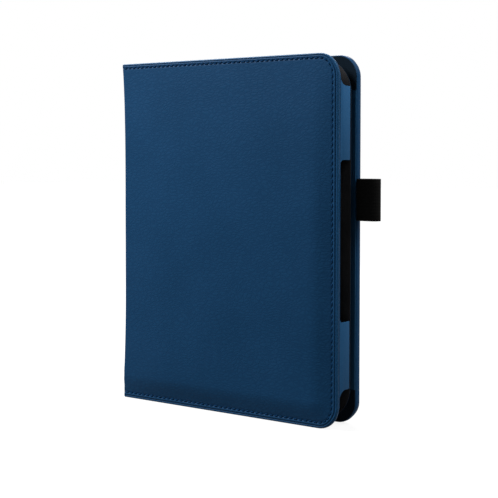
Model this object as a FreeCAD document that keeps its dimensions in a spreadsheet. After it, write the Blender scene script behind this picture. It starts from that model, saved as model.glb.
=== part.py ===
"""A tablet keyboard case: two stitched covers on a spine, a tablet sleeve and a slim keyboard.

The case is modelled closed and standing on its lower edge. While modelling, x runs from the spine's outer
face towards the fore-edge, y from the front cover's rim to the back, and z up. Every piece is then moved so
that the origin lies under the middle of the whole case.
"""
import FreeCAD, Part
import math
import os

import Sketcher
from FreeCAD import Vector

# Driving dimensions in millimetres
SIZES = {
    # The whole case
    "case_height": 203.0,
    "case_width": 155.5,
    "case_depth": 22.6,
    "fore_radius": 12.5,
    # Layers of the covers
    "leather": 0.8,
    "lining": 0.4,
    "front_board": 1.2,
    "front_board_start": 5.0,
    "back_board": 3.2,
    "edge_wrap": 1.0,
    "lining_inset": 0.6,
    # Creases and the spine
    "crease_gap": 0.3,
    "crease_width": 1.2,
    "spine_board": 1.2,
    "spine_side_gap": 0.6,
    # Padded panel of the front cover
    "crown_rise": 1.4,
    "stitch_border": 5.0,
    "crown_slope": 11.0,
    "crown_shoulder": 4.5,
    "shoulder_rise": 0.9,
    # Tablet sleeve
    "sleeve_start": 8.0,
    "sleeve_fore_inset": 1.0,
    "sleeve_end_inset": 2.0,
    "sleeve_radius": 11.5,
    "sleeve_panel": 0.8,
    "tablet_space": 10.9,
    "bezel": 0.9,
    "bezel_inset": 0.2,
    "wall": 1.2,
    "wall_bulge": 0.5,
    "wall_lip": 1.4,
    "upper_cut": 185.5,
    "lower_cut": 21.0,
    "corner_cut_reach": 18.5,
    "cut_radius": 4.0,
    "port_low": 58.0,
    "port_high": 145.6,
    "port_radius": 2.0,
    "end_port_start": 48.0,
    "end_port_length": 52.0,
    "bezel_radius": 19.0,
    "bezel_spine_bar": 18.0,
    "bezel_fore_bar": 15.5,
    "bezel_end_bar": 16.0,
    "window_radius": 4.0,
    # Keyboard
    "deck_start": 58.0,
    "deck_depth": 90.0,
    "deck_low": 9.0,
    "deck_length": 185.0,
    "deck_radius": 5.0,
    "deck_level": 17.0,
    "deck": 1.0,
    "deck_chamfer": 0.3,
    "base_depth": 2.9,
    "base_floor": 0.6,
    "base_wall": 1.2,
    "recess_play": 0.15,
    "key_pitch": 17.5,
    "row_pitch": 16.5,
    "key_gap": 2.0,
    "key_play": 0.3,
    "key_radius": 1.5,
    "key_edge": 0.45,
    "key_level": 15.5,
    "key_height": 2.4,
    "key_roof": 0.9,
    "key_skirt": 1.5,
    "stem_width": 4.0,
    "stem_below": 0.2,
    "key_field_start": 79.0,
    "key_field_low": 14.0,
    "membrane": 0.9,
    "membrane_margin": 0.5,
    # Electronics beside the keys
    "bay_start": 60.5,
    "battery_width": 14.0,
    "battery_low": 12.0,
    "battery_length": 50.0,
    "battery": 2.0,
    "circuit_width": 16.0,
    "circuit_low": 70.0,
    "circuit_length": 121.0,
    "circuit": 0.8,
    "socket_centre": 70.0,
    "socket_width": 7.4,
    "socket_height": 2.6,
    "socket_length": 5.8,
    "socket_shell": 0.4,
    "socket_radius": 0.8,
    "blade_inset": 1.2,
    "blade_drop": 1.0,
    "blade": 0.4,
    "socket_play": 0.2,
    "socket_back": 1.1,
    "switch_centre": 67.0,
    "switch_low": 78.0,
    "switch_length": 6.0,
    "switch_width": 3.4,
    "switch_travel": 3.0,
    "switch_proud": 0.6,
    "switch_foot": 0.6,
    "switch_flange": 1.2,
    "switch_groove": 0.48,
    "groove_depth": 0.3,
    # Tablet stop, magnets and pen loop
    "rest_start": 34.0,
    "rest_width": 6.0,
    "rest_height": 2.3,
    "rest_low": 25.0,
    "rest_length": 153.0,
    "rest_radius": 1.6,
    "magnet_width": 4.4,
    "magnet_length": 14.0,
    "closure_magnet": 1.6,
    "bezel_magnet": 0.6,
    "magnet_inset": 6.4,
    "lower_magnet": 33.0,
    "upper_magnet": 156.0,
    "loop_low": 112.7,
    "loop_height": 22.8,
    "loop_reach": 14.3,
    "loop_gap": 0.4,
    "loop_front": 15.2,
    "loop_back": 22.4,
    "loop_radius": 3.3,
    "loop_band": 1.1,
    "loop_tab_start": 148.8,
}

# Rows of keys from the spine to the fore-edge, each key with its width in key pitches
KEY_ROWS = (
    (("q", 1), ("w", 1), ("e", 1), ("r", 1), ("t", 1), ("y", 1), ("u", 1), ("i", 1), ("o", 1), ("p", 1)),
    (("a", 1), ("s", 1), ("d", 1), ("f", 1), ("g", 1), ("h", 1), ("j", 1), ("k", 1), ("l", 1), ("delete", 1)),
    (("shift", 1), ("z", 1), ("x", 1), ("c", 1), ("v", 1), ("b", 1), ("n", 1), ("m", 1), ("enter", 2)),
    (("fn", 1), ("ctrl", 1), ("alt", 1), ("space", 4), ("sym", 1), ("left", 1), ("right", 1)),
)

# Grip grooves across the power switch
SWITCH_GROOVES = 4

# How far a cutting sketch runs past the piece that it cuts, in millimetres
PAST = 4.0

doc = FreeCAD.newDocument("tablet_keyboard_case")
sheet = doc.addObject("Spreadsheet::Sheet", "sizes")
pieces = []


class Size:
    """A length: its value in millimetres and the expression that reads it from the sheet."""

    def __init__(self, value, text):
        self.value = value
        self.text = text

    def __add__(self, other):
        other = as_size(other)
        return Size(self.value + other.value, f"({self.text} + {other.text})")

    def __sub__(self, other):
        other = as_size(other)
        return Size(self.value - other.value, f"({self.text} - {other.text})")

    def __mul__(self, factor):
        return Size(self.value * factor, f"({self.text} * {factor})")

    def __neg__(self):
        return Size(-self.value, f"(-1 * {self.text})")


def as_size(length):
    """A plain number of millimetres as a Size."""
    return length if isinstance(length, Size) else Size(float(length), str(float(length)))


def fill_sheet():
    """One row per driving dimension, with its name and its aliased value."""
    for row, (name, value) in enumerate(SIZES.items(), start=1):
        sheet.set(f"A{row}", name)
        sheet.set(f"B{row}", str(value))
        sheet.setAlias(f"B{row}", name)
    doc.recompute()


def size(name):
    """A driving dimension by name."""
    return Size(SIZES[name], f"sizes.{name}")


def place(piece):
    """Move a piece from the spine's corner to the frame whose origin is under the middle of the case."""
    middle_x = (size("case_width") + size("loop_reach")) * 0.5
    middle_y = (size("case_depth") - size("crown_rise")) * 0.5
    piece.setExpression("Placement.Base.x", (-middle_x).text)
    piece.setExpression("Placement.Base.y", (-middle_y).text)


def new_body(label):
    """An empty body, which is one piece of the case."""
    body = doc.addObject("PartDesign::Body", label)
    body.Label = label
    place(body)
    pieces.append(body)
    return body


def new_sketch(body, role, level):
    """A sketch on one of the body's own planes, moved to a level along the axis that the plane faces."""
    sketch = body.newObject("Sketcher::SketchObject", body.Label + "_sketch")
    plane = next(item for item in body.Origin.OriginFeatures if item.Role == role)
    sketch.AttachmentSupport = [(plane, "")]
    sketch.MapMode = "FlatFace"
    # The upright plane across the depth faces the front, so its offset runs against y
    offset = -as_size(level) if role == "XZ_Plane" else as_size(level)
    sketch.setExpression("AttachmentOffset.Base.z", offset.text)
    return sketch


def hold(sketch, kind, geometry, point, length):
    """Hold a point of the sketch at a distance from its origin, read from the sheet."""
    index = sketch.addConstraint(Sketcher.Constraint(kind, -1, 1, geometry, point, length.value))
    sketch.setExpression(f"Constraints[{index}]", length.text)


def rectangle(sketch, left, right, low, high, radii=(None, None, None, None)):
    """A rectangle with its own radius at each corner: low left, low right, high right, high left."""
    left, right, low, high = (as_size(length) for length in (left, right, low, high))
    turns = [as_size(radius).value if radius is not None else 0.0 for radius in radii]
    corners = [(left, low), (right, low), (right, high), (left, high)]
    along = [(1, 0), (0, 1), (-1, 0), (0, -1)]
    lines = []
    for side, (step_x, step_y) in enumerate(along):
        start, end = corners[side], corners[(side + 1) % 4]
        first, last = turns[side], turns[(side + 1) % 4]
        from_point = Vector(start[0].value + step_x * first, start[1].value + step_y * first, 0)
        to_point = Vector(end[0].value - step_x * last, end[1].value - step_y * last, 0)
        lines.append(sketch.addGeometry(Part.LineSegment(from_point, to_point)))
        sketch.addConstraint(Sketcher.Constraint("Vertical" if side % 2 else "Horizontal", lines[side]))
    for corner, turn in enumerate(turns):
        before, after = lines[corner - 1], lines[corner]
        if not turn:
            sketch.addConstraint(Sketcher.Constraint("Coincident", before, 2, after, 1))
            continue
        inward_x = along[corner][0] - along[corner - 1][0]
        inward_y = along[corner][1] - along[corner - 1][1]
        corner_x, corner_y = corners[corner]
        centre = Vector(corner_x.value + inward_x * turn, corner_y.value + inward_y * turn, 0)
        first_angle = math.radians(180 + 90 * corner)
        full_turn = Part.Circle(centre, Vector(0, 0, 1), turn)
        arc = sketch.addGeometry(Part.ArcOfCircle(full_turn, first_angle, first_angle + math.pi / 2))
        sketch.addConstraint(Sketcher.Constraint("Tangent", before, 2, arc, 1))
        sketch.addConstraint(Sketcher.Constraint("Tangent", arc, 2, after, 1))
        index = sketch.addConstraint(Sketcher.Constraint("Radius", arc, turn))
        sketch.setExpression(f"Constraints[{index}]", as_size(radii[corner]).text)
    hold(sketch, "DistanceY", lines[0], 1, low)
    hold(sketch, "DistanceX", lines[1], 1, right)
    hold(sketch, "DistanceY", lines[2], 1, high)
    hold(sketch, "DistanceX", lines[3], 1, left)


def pad(body, sketch, length, towards_front=False):
    """Thicken a sketch: along y towards the back unless it goes to the front, or along x or z."""
    feature = body.newObject("PartDesign::Pad", body.Label + "_pad")
    feature.Profile = sketch
    feature.setExpression("Length", as_size(length).text)
    upright = sketch.AttachmentSupport[0][0].Role == "XZ_Plane"
    feature.Reversed = upright and not towards_front
    body.Tip = feature
    return feature


def pocket(body, sketch, length, against=False):
    """Cut a sketch out: along y towards the back, or down along x or z, or the other way round."""
    feature = body.newObject("PartDesign::Pocket", body.Label + "_pocket")
    feature.Profile = sketch
    feature.setExpression("Length", as_size(length).text)
    feature.Reversed = against
    body.Tip = feature
    return feature


def loft(body, kind, sketches):
    """Add or cut a form that runs through flat outlines."""
    feature = body.newObject("PartDesign::" + kind, body.Label + "_loft")
    feature.Profile = sketches[0]
    feature.Sections = sketches[1:]
    feature.Ruled = True
    body.Tip = feature
    return feature


def fore_corners(radius):
    """Radii that round only the two corners at the fore-edge."""
    return (None, radius, radius, None)


def all_corners(radius):
    """The same radius at all four corners."""
    return (radius, radius, radius, radius)


def sheet_outline(body, level, inset, radius, start=None):
    """A cover's outline at a depth, drawn in from the three free edges."""
    sketch = new_sketch(body, "XZ_Plane", level)
    start = size("crease_width") if start is None else start
    rectangle(sketch, start, size("case_width") - inset, as_size(inset), size("case_height") - inset,
              fore_corners(radius))
    return sketch


def cover_leather(label, front, thickness, board, cavity_front):
    """A cover's leather: a flat skin with its edges turned round the board on the three free sides."""
    body = new_body(label)
    pad(body, sheet_outline(body, front, 0.0, size("fore_radius")), thickness)
    cavity = sheet_outline(body, cavity_front, size("edge_wrap"), size("fore_radius") - size("edge_wrap"),
                           start=size("crease_width") - PAST)
    pocket(body, cavity, board)
    return body


def crown_outline(body, level, inset):
    """The padded panel's outline at a depth: drawn in from the stitched borders, and open to the spine."""
    border = size("stitch_border") + inset
    sketch = new_sketch(body, "XZ_Plane", level)
    rectangle(sketch, size("crease_width"), size("case_width") - border, border,
              size("case_height") - border, fore_corners(size("fore_radius") - size("stitch_border")))
    return sketch


def crown(body, kind, foot):
    """The padded panel's rise from its foot: a steep shoulder, then a long slope to the flat middle."""
    outlines = [
        crown_outline(body, foot, 0.0),
        crown_outline(body, foot - size("shoulder_rise"), size("crown_shoulder")),
        crown_outline(body, foot - size("crown_rise"), size("crown_slope")),
    ]
    loft(body, kind, outlines)


def front_cover():
    """The front cover: leather over a foam pad and a board, with a lining inside."""
    leather = size("leather")
    board_back = leather + size("front_board")
    skin = cover_leather("front_cover_leather", 0.0, board_back, size("front_board"), leather)
    crown(skin, "AdditiveLoft", as_size(0.0))
    crown(skin, "SubtractiveLoft", leather)
    padding = new_body("front_cover_padding")
    crown(padding, "AdditiveLoft", leather)
    board = new_body("front_cover_board")
    outline = sheet_outline(board, leather, size("edge_wrap"), size("fore_radius") - size("edge_wrap"),
                            start=size("front_board_start"))
    pad(board, outline, size("front_board"))
    lining = new_body("front_cover_lining")
    outline = sheet_outline(lining, board_back, size("lining_inset"),
                            size("fore_radius") - size("lining_inset"))
    pad(lining, outline, size("lining"))


def sleeve_levels():
    """Depths of the sleeve's panel, its walls and its bezel, counted from the front."""
    panel = size("leather") + size("front_board") + size("lining")
    walls = panel + size("sleeve_panel")
    bezel = walls + size("tablet_space")
    return panel, walls, bezel


def sleeve_outline(body, level, inset, radius, start):
    """The sleeve's outline at a depth, with rounded corners at the fore-edge."""
    sketch = new_sketch(body, "XZ_Plane", level)
    ends = size("sleeve_end_inset") + inset
    rectangle(sketch, start, size("case_width") - size("sleeve_fore_inset") - inset, ends,
              size("case_height") - ends, fore_corners(radius))
    return sketch


def wall_cut(body, low, high, radii, reach):
    """Cut the sleeve's walls from the fore-edge inwards, down to their standing lip."""
    sketch = new_sketch(body, "YZ_Plane", size("case_width"))
    _, walls, bezel = sleeve_levels()
    rectangle(sketch, walls + size("wall_lip"), bezel + PAST, low, high, radii)
    pocket(body, sketch, reach)


def sleeve():
    """The tablet sleeve: a panel, walls cut open at the corners and ports, and a bezel with a window."""
    panel_level, wall_level, bezel_level = sleeve_levels()
    start = size("sleeve_start")
    panel = new_body("sleeve_back_panel")
    pad(panel, sleeve_outline(panel, panel_level, 0.0, size("sleeve_radius"), start), size("sleeve_panel"))

    walls = new_body("sleeve_walls")
    bulge = size("wall_bulge")
    edge_radius = size("sleeve_radius") - bulge
    loft(walls, "AdditiveLoft", [
        sleeve_outline(walls, wall_level, bulge, edge_radius, start),
        sleeve_outline(walls, wall_level + size("tablet_space") * 0.5, 0.0, size("sleeve_radius"), start),
        sleeve_outline(walls, bezel_level, bulge, edge_radius, start),
    ])
    inner_radius = size("sleeve_radius") - size("wall")
    inside = sleeve_outline(walls, wall_level, size("wall"), inner_radius, start - PAST)
    pocket(walls, inside, size("tablet_space"))
    top = size("case_height")
    cut_radius = size("cut_radius")
    wall_cut(walls, size("upper_cut"), top + PAST, (cut_radius, None, None, None), size("corner_cut_reach"))
    wall_cut(walls, as_size(-PAST), size("lower_cut"), (None, None, None, cut_radius),
             size("corner_cut_reach"))
    port_radius = size("port_radius")
    wall_cut(walls, size("port_low"), size("port_high"), (port_radius, None, None, port_radius),
             size("sleeve_fore_inset") + size("wall") + PAST)
    end_port = new_sketch(walls, "XZ_Plane", wall_level + size("wall_lip"))
    rectangle(end_port, size("end_port_start"), size("end_port_start") + size("end_port_length"),
              as_size(-PAST), top + PAST)
    pocket(walls, end_port, size("tablet_space"))

    bezel = new_body("sleeve_bezel")
    frame = sleeve_outline(bezel, bezel_level, size("bezel_inset"), size("bezel_radius"), start)
    pad(bezel, frame, size("bezel"))
    window = new_sketch(bezel, "XZ_Plane", bezel_level)
    fore = size("case_width") - size("sleeve_fore_inset") - size("bezel_fore_bar")
    ends = size("sleeve_end_inset") + size("bezel_end_bar")
    rectangle(window, start + size("bezel_spine_bar"), fore, ends, top - ends,
              all_corners(size("window_radius")))
    pocket(bezel, window, size("bezel"))
    for low in magnet_places():
        seat = magnet_outline(bezel, bezel_level, low)
        pocket(bezel, seat, size("bezel_magnet"))
    magnet_pair("bezel_magnets", bezel_level, size("bezel_magnet"))


def magnet_places():
    """Heights at which the lower and upper magnets start."""
    return size("lower_magnet"), size("upper_magnet")


def magnet_outline(body, level, low):
    """One magnet's outline near the fore-edge."""
    sketch = new_sketch(body, "XZ_Plane", level)
    right = size("case_width") - size("magnet_inset") + size("magnet_width")
    rectangle(sketch, size("case_width") - size("magnet_inset"), right, low, low + size("magnet_length"))
    return sketch


def magnet_pair(label, level, thickness):
    """Two flat bar magnets that share one name."""
    bars = []
    for low in magnet_places():
        bar = doc.addObject("Part::Box", label + "_bar")
        bar.setExpression("Length", size("magnet_width").text)
        bar.setExpression("Width", thickness.text)
        bar.setExpression("Height", size("magnet_length").text)
        bar.setExpression("Placement.Base.x", (size("case_width") - size("magnet_inset")).text)
        bar.setExpression("Placement.Base.y", level.text)
        bar.setExpression("Placement.Base.z", low.text)
        bars.append(bar)
    pair = doc.addObject("Part::Compound", label)
    pair.Label = label
    pair.Links = bars
    place(pair)
    pieces.append(pair)


def spine_strip(label, level, thickness, first, last, inset):
    """One upright layer of the spine."""
    body = new_body(label)
    sketch = new_sketch(body, "YZ_Plane", level)
    rectangle(sketch, first, last, as_size(inset), size("case_height") - inset)
    pad(body, sketch, thickness)


def spine():
    """The spine: a leather strip, a narrow board behind it and a lining."""
    gap = size("crease_gap")
    depth = size("case_depth")
    spine_strip("spine_leather", 0.0, size("leather"), gap, depth - gap, 0.0)
    inner_front = size("leather") + size("front_board") + size("lining") + size("spine_side_gap")
    inner_back = back_levels()[0] - size("spine_side_gap")
    spine_strip("spine_board", size("leather"), size("spine_board"), inner_front, inner_back,
                size("edge_wrap"))
    spine_strip("spine_lining", size("leather") + size("spine_board"), size("lining"), inner_front,
                inner_back, size("lining_inset"))


def back_levels():
    """Depths of the back cover's lining, board and leather, counted from the front."""
    leather = size("case_depth") - size("leather")
    board = leather - size("back_board")
    return board - size("lining"), board, leather


def deck_outline(body, level, growth):
    """The keyboard's rounded outline at a depth, grown all round."""
    sketch = new_sketch(body, "XZ_Plane", level)
    left = size("deck_start") - growth
    low = size("deck_low") - growth
    right = size("deck_start") + size("deck_depth") + growth
    high = size("deck_low") + size("deck_length") + growth
    rectangle(sketch, left, right, low, high, all_corners(size("deck_radius") + growth))
    return sketch


def socket_channel(body, level, play, start, end, depth):
    """Cut the socket's channel from the keyboard to the cover's upper edge."""
    sketch = new_sketch(body, "XZ_Plane", level)
    half = size("socket_width") * 0.5 + play
    rectangle(sketch, size("socket_centre") - half, size("socket_centre") + half, start, end)
    pocket(body, sketch, depth)


def back_cover():
    """The back cover: leather round a thick board that the keyboard is let into, and a lining."""
    lining_level, board_level, _ = back_levels()
    play = size("socket_play")
    top = size("case_height")
    deck_end = size("deck_low") + size("deck_length")
    channel_depth = size("back_board") - play
    skin = cover_leather("back_cover_leather", board_level, size("back_board") + size("leather"),
                         size("back_board"), board_level)
    socket_channel(skin, board_level, play, deck_end, top + PAST, channel_depth)

    board = new_body("back_cover_board")
    outline = sheet_outline(board, board_level, size("edge_wrap"), size("fore_radius") - size("edge_wrap"))
    pad(board, outline, size("back_board"))
    base_back = size("deck_level") + size("deck") + size("base_depth")
    pocket(board, deck_outline(board, board_level, size("recess_play")),
           base_back + size("recess_play") - board_level)
    socket_channel(board, board_level, play, deck_end, top + PAST, channel_depth)
    for low in magnet_places():
        pocket(board, magnet_outline(board, board_level, low), size("closure_magnet"))
    magnet_pair("closure_magnets", board_level, size("closure_magnet"))

    lining = new_body("back_cover_lining")
    outline = sheet_outline(lining, lining_level, size("lining_inset"),
                            size("fore_radius") - size("lining_inset"))
    pad(lining, outline, size("lining"))
    pocket(lining, deck_outline(lining, lining_level, size("recess_play")), size("lining"))


def key_spans():
    """Each key's name with the edges of its cap: first and last along the row, near and far across it."""
    spans = []
    half_gap = size("key_gap") * 0.5
    for row, keys in enumerate(KEY_ROWS):
        near = size("key_field_start") + size("row_pitch") * row + half_gap
        far = size("key_field_start") + size("row_pitch") * (row + 1) - half_gap
        column = 0
        for name, width in keys:
            first = size("key_field_low") + size("key_pitch") * column + half_gap
            last = size("key_field_low") + size("key_pitch") * (column + width) - half_gap
            spans.append((name, row, near, far, first, last))
            column += width
    return spans


def keyboard():
    """The keyboard's housing and what it holds, apart from the keys."""
    deck_back = size("deck_level") + size("deck")
    floor = deck_back + size("base_depth") - size("base_floor")
    deck = new_body("keyboard_deck")
    plate = pad(deck, deck_outline(deck, size("deck_level"), as_size(0.0)), size("deck"))
    doc.recompute()
    rim = deck.newObject("PartDesign::Chamfer", "keyboard_deck_rim")
    rim.Base = (plate, [front_face(plate)])
    rim.setExpression("Size", size("deck_chamfer").text)
    deck.Tip = rim
    play = size("key_play")
    for row in range(len(KEY_ROWS)):
        windows = new_sketch(deck, "XZ_Plane", size("deck_level"))
        for _, key_row, near, far, first, last in key_spans():
            if key_row == row:
                rectangle(windows, near - play, far + play, first - play, last + play)
        pocket(deck, windows, size("deck"))
    slot = new_sketch(deck, "XZ_Plane", size("deck_level"))
    half = size("switch_width") * 0.5 + play
    rectangle(slot, size("switch_centre") - half, size("switch_centre") + half, size("switch_low") - play,
              size("switch_low") + size("switch_length") + size("switch_travel") + play)
    pocket(deck, slot, size("deck"))

    base = new_body("keyboard_base")
    pad(base, deck_outline(base, deck_back, as_size(0.0)), size("base_depth"))
    pocket(base, deck_outline(base, deck_back, -size("base_wall")), size("base_depth") - size("base_floor"))
    deck_end = size("deck_low") + size("deck_length")
    socket_channel(base, deck_back, size("socket_play"), deck_end - size("base_wall") - PAST, deck_end + PAST,
                   size("base_depth") - size("base_floor"))

    membrane = new_body("switch_membrane")
    margin = size("membrane_margin")
    field_end = size("key_field_start") + size("row_pitch") * len(KEY_ROWS)
    field_top = size("key_field_low") + size("key_pitch") * sum(width for _, width in KEY_ROWS[0])
    sketch = new_sketch(membrane, "XZ_Plane", floor - size("membrane"))
    rectangle(sketch, size("key_field_start") - margin, field_end + margin, size("key_field_low") - margin,
              field_top + margin)
    pad(membrane, sketch, size("membrane"))

    battery = new_body("battery")
    sketch = new_sketch(battery, "XZ_Plane", floor - size("battery"))
    rectangle(sketch, size("bay_start"), size("bay_start") + size("battery_width"), size("battery_low"),
              size("battery_low") + size("battery_length"), all_corners(size("key_radius")))
    pad(battery, sketch, size("battery"))
    circuit_and_socket(floor)
    power_switch()


def circuit_and_socket(floor):
    """The circuit board with a tongue that reaches to the charging socket in the cover's upper edge."""
    board = new_body("circuit_board")
    top = floor - size("circuit")
    end = size("circuit_low") + size("circuit_length")
    sketch = new_sketch(board, "XZ_Plane", top)
    rectangle(sketch, size("bay_start"), size("bay_start") + size("circuit_width"), size("circuit_low"), end)
    pad(board, sketch, size("circuit"))
    socket_low = size("case_height") - size("socket_length") - size("socket_play")
    half = size("socket_width") * 0.5
    tongue = new_sketch(board, "XZ_Plane", top)
    rectangle(tongue, size("socket_centre") - half, size("socket_centre") + half, end - PAST, socket_low)
    pad(board, tongue, size("circuit"))

    socket = new_body("charging_socket")
    front = back_levels()[2] - size("socket_play") - size("socket_height")
    back = back_levels()[2] - size("socket_play")
    shell = size("socket_shell")
    sketch = new_sketch(socket, "XY_Plane", socket_low)
    rectangle(sketch, size("socket_centre") - half, size("socket_centre") + half, front, back,
              all_corners(size("socket_radius")))
    pad(socket, sketch, size("socket_length"))
    mouth = new_sketch(socket, "XY_Plane", socket_low + size("socket_length"))
    rectangle(mouth, size("socket_centre") - half + shell, size("socket_centre") + half - shell,
              front + shell, back - shell, all_corners(size("socket_radius") - shell))
    pocket(socket, mouth, size("socket_length") - size("socket_back"))
    blade = new_sketch(socket, "XY_Plane", socket_low)
    reach = half - size("blade_inset")
    blade_front = front + size("blade_drop")
    rectangle(blade, size("socket_centre") - reach, size("socket_centre") + reach, blade_front,
              blade_front + size("blade"))
    pad(socket, blade, size("socket_length") - size("socket_back"))


def power_switch():
    """The sliding power switch: a ribbed knob over a flange that runs under the deck."""
    switch = new_body("power_switch")
    deck_back = size("deck_level") + size("deck")
    knob_front = size("deck_level") - size("switch_proud")
    half = size("switch_width") * 0.5
    knob = new_sketch(switch, "XZ_Plane", knob_front)
    rectangle(knob, size("switch_centre") - half, size("switch_centre") + half, size("switch_low"),
              size("switch_low") + size("switch_length"))
    flange_front = deck_back + size("recess_play")
    pad(switch, knob, flange_front - knob_front)
    foot = new_sketch(switch, "XZ_Plane", flange_front)
    flange = size("switch_flange")
    rectangle(foot, size("switch_centre") - half - flange, size("switch_centre") + half + flange,
              size("switch_low"), size("switch_low") + size("switch_length"))
    pad(switch, foot, size("switch_foot"))
    grooves = new_sketch(switch, "XZ_Plane", knob_front)
    pitch = size("switch_length") * (1 / (SWITCH_GROOVES + 1))
    half_groove = size("switch_groove") * 0.5
    for groove in range(SWITCH_GROOVES):
        middle = size("switch_low") + pitch * (groove + 1)
        rectangle(grooves, size("switch_centre") - half - PAST, size("switch_centre") + half + PAST,
                  middle - half_groove, middle + half_groove)
    pocket(switch, grooves, size("groove_depth"))


def front_face(feature):
    """The name of a feature's flat face that looks to the front."""
    faces = feature.Shape.Faces
    nearest = min(range(len(faces)), key=lambda index: faces[index].CenterOfMass.y)
    return f"Face{nearest + 1}"


def key_cap(name, near, far, first, last):
    """One key: a rounded cap with broken upper edges, hollow below, on a square stem."""
    key = new_body("key_" + name)
    foot_level = size("key_level") + size("key_height")
    foot = new_sketch(key, "XZ_Plane", foot_level)
    rectangle(foot, near, far, first, last, all_corners(size("key_radius")))
    cap = pad(key, foot, size("key_height"), towards_front=True)
    doc.recompute()
    edge = key.newObject("PartDesign::Chamfer", key.Label + "_edge")
    edge.Base = (cap, [front_face(cap)])
    edge.setExpression("Size", size("key_edge").text)
    key.Tip = edge
    skirt = size("key_skirt")
    roof_back = size("key_level") + size("key_roof")
    hollow = new_sketch(key, "XZ_Plane", roof_back)
    rectangle(hollow, near + skirt, far - skirt, first + skirt, last - skirt)
    pocket(key, hollow, size("key_height"))
    stem = new_sketch(key, "XZ_Plane", roof_back)
    middle_x, middle_z = (near + far) * 0.5, (first + last) * 0.5
    half = size("stem_width") * 0.5
    rectangle(stem, middle_x - half, middle_x + half, middle_z - half, middle_z + half)
    pad(key, stem, size("key_height") - size("key_roof") + size("stem_below"))


def tablet_rest():
    """A rounded stop on the back cover's lining, against which the tablet stands."""
    rest = new_body("tablet_rest")
    lining_level = back_levels()[0]
    sketch = new_sketch(rest, "XY_Plane", size("rest_low"))
    radius = size("rest_radius")
    rectangle(sketch, size("rest_start"), size("rest_start") + size("rest_width"),
              lining_level - size("rest_height"), lining_level, (radius, radius, None, None))
    pad(rest, sketch, size("rest_length"))


def pen_loop():
    """The elastic pen loop: a band folded round beyond the fore-edge, with its tail sewn inside."""
    loop = new_body("pen_loop")
    start = size("case_width") + size("loop_gap")
    end = size("case_width") + size("loop_reach")
    band = size("loop_band")
    lining_level = back_levels()[0]
    ring = new_sketch(loop, "XY_Plane", size("loop_low"))
    rectangle(ring, start, end, size("loop_front"), size("loop_back"), all_corners(size("loop_radius")))
    pad(loop, ring, size("loop_height"))
    tab = new_sketch(loop, "XY_Plane", size("loop_low"))
    rectangle(tab, size("loop_tab_start"), start + band * 0.5, lining_level - band, lining_level)
    pad(loop, tab, size("loop_height"))
    gap = new_sketch(loop, "XY_Plane", size("loop_low") + size("loop_height"))
    rectangle(gap, start + band, end - band, size("loop_front") + band, size("loop_back") - band,
              all_corners(size("loop_radius") - band))
    pocket(loop, gap, size("loop_height"))


def check_pieces():
    """Stop if a feature failed, a cut removed nothing, or a piece is not a sound solid."""
    for item in doc.Objects:
        if "Invalid" in item.State or "Error" in item.State:
            raise RuntimeError(f"{item.Label} failed: {item.State}")
        if item.isDerivedFrom("PartDesign::Pocket"):
            if item.BaseFeature.Shape.Volume - item.Shape.Volume < 0.01:
                raise RuntimeError(f"{item.Label} cuts nothing")
    for piece in pieces:
        if piece.Shape.isNull() or not piece.Shape.isValid():
            raise RuntimeError(f"{piece.Label} has no sound shape")


def main():
    fill_sheet()
    front_cover()
    sleeve()
    spine()
    back_cover()
    keyboard()
    for name, _, near, far, first, last in key_spans():
        key_cap(name, near, far, first, last)
    tablet_rest()
    pen_loop()
    doc.recompute()
    check_pieces()
    os.makedirs("parts", exist_ok=True)
    for piece in pieces:
        piece.Shape.exportStep(f"parts/{piece.Label}.step")
        solids = len(piece.Shape.Solids)
        print(f"{piece.Label}: {solids} solid, {piece.Shape.Volume:.1f} mm3")


main()
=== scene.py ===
import math

import bmesh
import bpy
from mathutils import Matrix, Vector, noise


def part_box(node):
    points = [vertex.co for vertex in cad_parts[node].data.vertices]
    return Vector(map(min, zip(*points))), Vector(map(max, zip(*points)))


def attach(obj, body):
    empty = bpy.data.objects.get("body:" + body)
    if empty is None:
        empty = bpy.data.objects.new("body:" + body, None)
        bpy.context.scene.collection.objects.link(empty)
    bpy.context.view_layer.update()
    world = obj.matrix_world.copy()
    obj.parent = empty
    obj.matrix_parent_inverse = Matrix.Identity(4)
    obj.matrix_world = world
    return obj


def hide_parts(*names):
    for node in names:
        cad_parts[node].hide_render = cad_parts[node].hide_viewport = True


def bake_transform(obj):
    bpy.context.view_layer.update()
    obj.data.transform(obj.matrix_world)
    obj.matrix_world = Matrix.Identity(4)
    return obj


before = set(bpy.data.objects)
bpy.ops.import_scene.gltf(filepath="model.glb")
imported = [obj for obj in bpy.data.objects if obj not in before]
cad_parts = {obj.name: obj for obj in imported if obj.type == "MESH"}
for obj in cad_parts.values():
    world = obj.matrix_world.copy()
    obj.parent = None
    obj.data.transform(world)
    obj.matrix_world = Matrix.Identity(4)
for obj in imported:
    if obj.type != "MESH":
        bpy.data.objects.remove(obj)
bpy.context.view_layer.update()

# A leather folio for a tablet, with a sleeve, a pen loop and a keyboard, dressed round its solids.
# Pieces are modelled in millimetres: x from the spine's outer face, y from the front cover's rim, z up
MM = 0.001
X, Y, Z = range(3)

# Places closer than TINY count as one, and points closer than WELD are joined after a cut
TINY = 0.02
WELD = 0.01

# How far a cutter reaches past what it cuts, where it has no reach of its own
PAST = 6.0

# The solid front cover's panel stands this far proud of its rim
CROWN = 1.4
CASE_ORIGIN = Vector((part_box("spine_leather")[0].x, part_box("front_cover_leather")[0].y + CROWN * MM, 0.0))

# Corners at the fore-edge, rounded as on the solids
FORE_RADIUS = 12.5
SLEEVE_RADIUS = 11.5
BEZEL_RADIUS = 19.0


def node_box(name):
    """A node's lowest and highest corners in the case's own millimetres."""
    low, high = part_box(name)
    return (low - CASE_ORIGIN) / MM, (high - CASE_ORIGIN) / MM


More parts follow.
